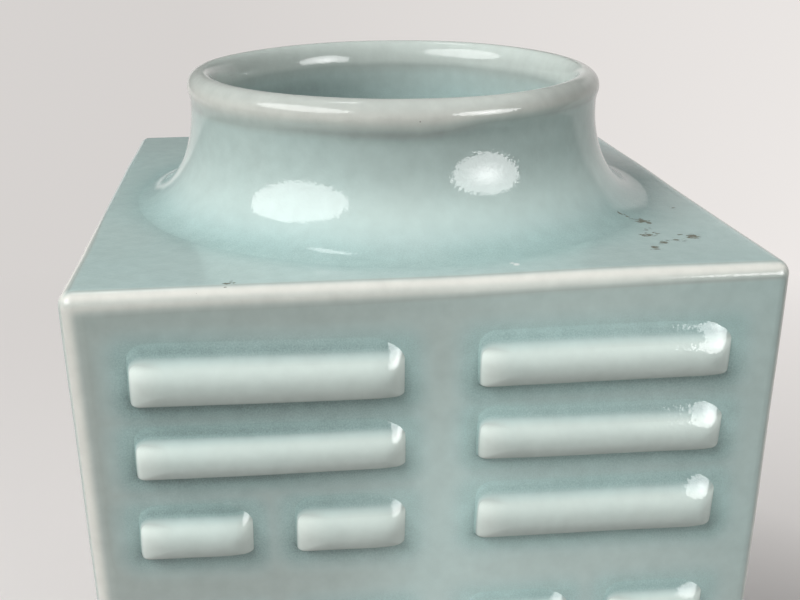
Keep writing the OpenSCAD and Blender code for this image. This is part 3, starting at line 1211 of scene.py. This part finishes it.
# Painted shadow: near the vase the floor is darker on the right.
on_right = slide(tree, axes_of(tree, place)["X"], 0.0, 0.1)
shaded = calculate(tree, "MULTIPLY", on_right, slide(tree, away, 0.33, 0.2))
lit_floor = blend_colour(tree, shaded, FLOOR_PALE, FLOOR_SHADED)
link(tree, blend_colour(tree, seen, FLOOR_BOUNCE, lit_floor), shader.inputs["Base Color"])
glow = add_node(tree, "ShaderNodeEmission", Color=(*BACKDROP, 1))
link(tree, strength, glow.inputs["Strength"])
melted = calculate(tree, "MULTIPLY", seen, slide(tree, away, 0.30, 0.75))
surface = mix_shaders(tree, melted, shader.outputs[0], glow.outputs[0])
link(tree, surface, tree.nodes["Material Output"].inputs["Surface"])
floor.data.materials.append(floor_material)
print("Floor", round(floor.dimensions.x), "m wide")

# %% [markdown]
# ## Room
#
# Beyond the floor, the world shows the same backdrop to the camera and to reflections. As a light it is
# an even dim grey, which fills the shadows without a colour of its own.

# %% Room
ROOM_LIGHT = (0.285, 0.285, 0.285)

world = bpy.data.worlds.new("studio")
world.use_nodes = True
bpy.context.scene.world = world
tree = world.node_tree
strength, seen = backdrop_light(tree, add_node(tree, "ShaderNodeTexCoord").outputs["Generated"])
backdrop = tree.nodes["Background"]
backdrop.inputs["Color"].default_value = (*BACKDROP, 1)
link(tree, strength, backdrop.inputs["Strength"])
room = add_node(tree, "ShaderNodeBackground", Color=(*ROOM_LIGHT, 1))
surface = mix_shaders(tree, seen, room.outputs[0], backdrop.outputs[0])
link(tree, surface, tree.nodes["World Output"].inputs["Surface"])
print("Room light", ROOM_LIGHT)

# %% [markdown]
# ## Lamps
#
# Three soft boxes light the vase: a large one high on the left, which does most of the work and throws
# the shadow to the right, one lower on the right, and a small dim one overhead. The right one shows
# bright in reflections, with a hot middle, but adds little light, as a lamp with a black grid does. So
# each of the two is made of two lamps, one just behind the other: one that lights and one that
# reflects.

# %% Lamps
LAMP_DISTANCE = 1.6


def soft_box(name, direction, wide, tall, brightness, reflects=True, lights=True, distance=LAMP_DISTANCE):
    """An oval soft box that faces the neck, with its spread in degrees and its brightness as radiance."""
    lamp_data = bpy.data.lights.new(name, "AREA")
    lamp_data.shape = "ELLIPSE"
    lamp_data.size = 2 * distance * math.tan(math.radians(wide / 2))
    lamp_data.size_y = 2 * distance * math.tan(math.radians(tall / 2))
    area = math.pi / 4 * lamp_data.size * lamp_data.size_y
    lamp_data.energy = brightness * math.pi * area
    lamp = bpy.data.objects.new(name, lamp_data)
    bpy.context.scene.collection.objects.link(lamp)
    lamp.visible_glossy = reflects
    lamp.visible_diffuse = lights
    outward = Vector(direction).normalized()
    lamp.location = neck_middle + outward * distance
    lamp.rotation_euler = outward.to_track_quat("Z", "Y").to_euler()
    return lamp


def heat_middle(lamp, gain):
    """Make a soft box brighter towards its middle by a gain."""
    lamp.data.use_nodes = True
    tree = lamp.data.node_tree
    spot = add_node(tree, "ShaderNodeNewGeometry")
    off = add_node(tree, "ShaderNodeVectorMath", operation="DISTANCE")
    link(tree, spot.outputs["Parametric"], off.inputs[0])
    off.inputs[1].default_value = (0.5, 0.5, 0)
    glow = add_node(
        tree, "ShaderNodeMapRange", interpolation_type="SMOOTHSTEP",
        From_Min=0.0, From_Max=0.36, To_Min=gain, To_Max=1.0,
    )
    link(tree, off.outputs["Value"], glow.inputs["Value"])
    link(tree, glow.outputs["Result"], tree.nodes["Emission"].inputs["Strength"])


back_row = 1.05 * LAMP_DISTANCE
soft_box("left_soft_box", (-0.669, -0.32, 0.671), 46, 32, 8.5, reflects=False, distance=back_row)
soft_box("left_reflection", (-0.743, -0.412, 0.527), 52, 33, 4.9, lights=False)
soft_box("right_soft_box", (0.648, -0.705, 0.288), 38, 38, 2.5, reflects=False, distance=back_row)
heat_middle(soft_box("right_reflection", (0.676, -0.710, 0.198), 37, 27, 6.5, lights=False), 2.0)
soft_box("overhead_lamp", (-0.18, 0.25, 0.93), 13, 8, 4.0)
bpy.context.scene.view_settings.view_transform = "Standard"
print("Soft boxes at", LAMP_DISTANCE, "m")

# %% [markdown]
# ## Size
#
# The dressed vase has to keep the construction model's size, so the last line gives both boxes.

# %% Size of the dressed vase
boxes = {"cad": cad_bounds, "visual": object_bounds()}
{name: [list(corner) for corner in box] for name, box in boxes.items()}
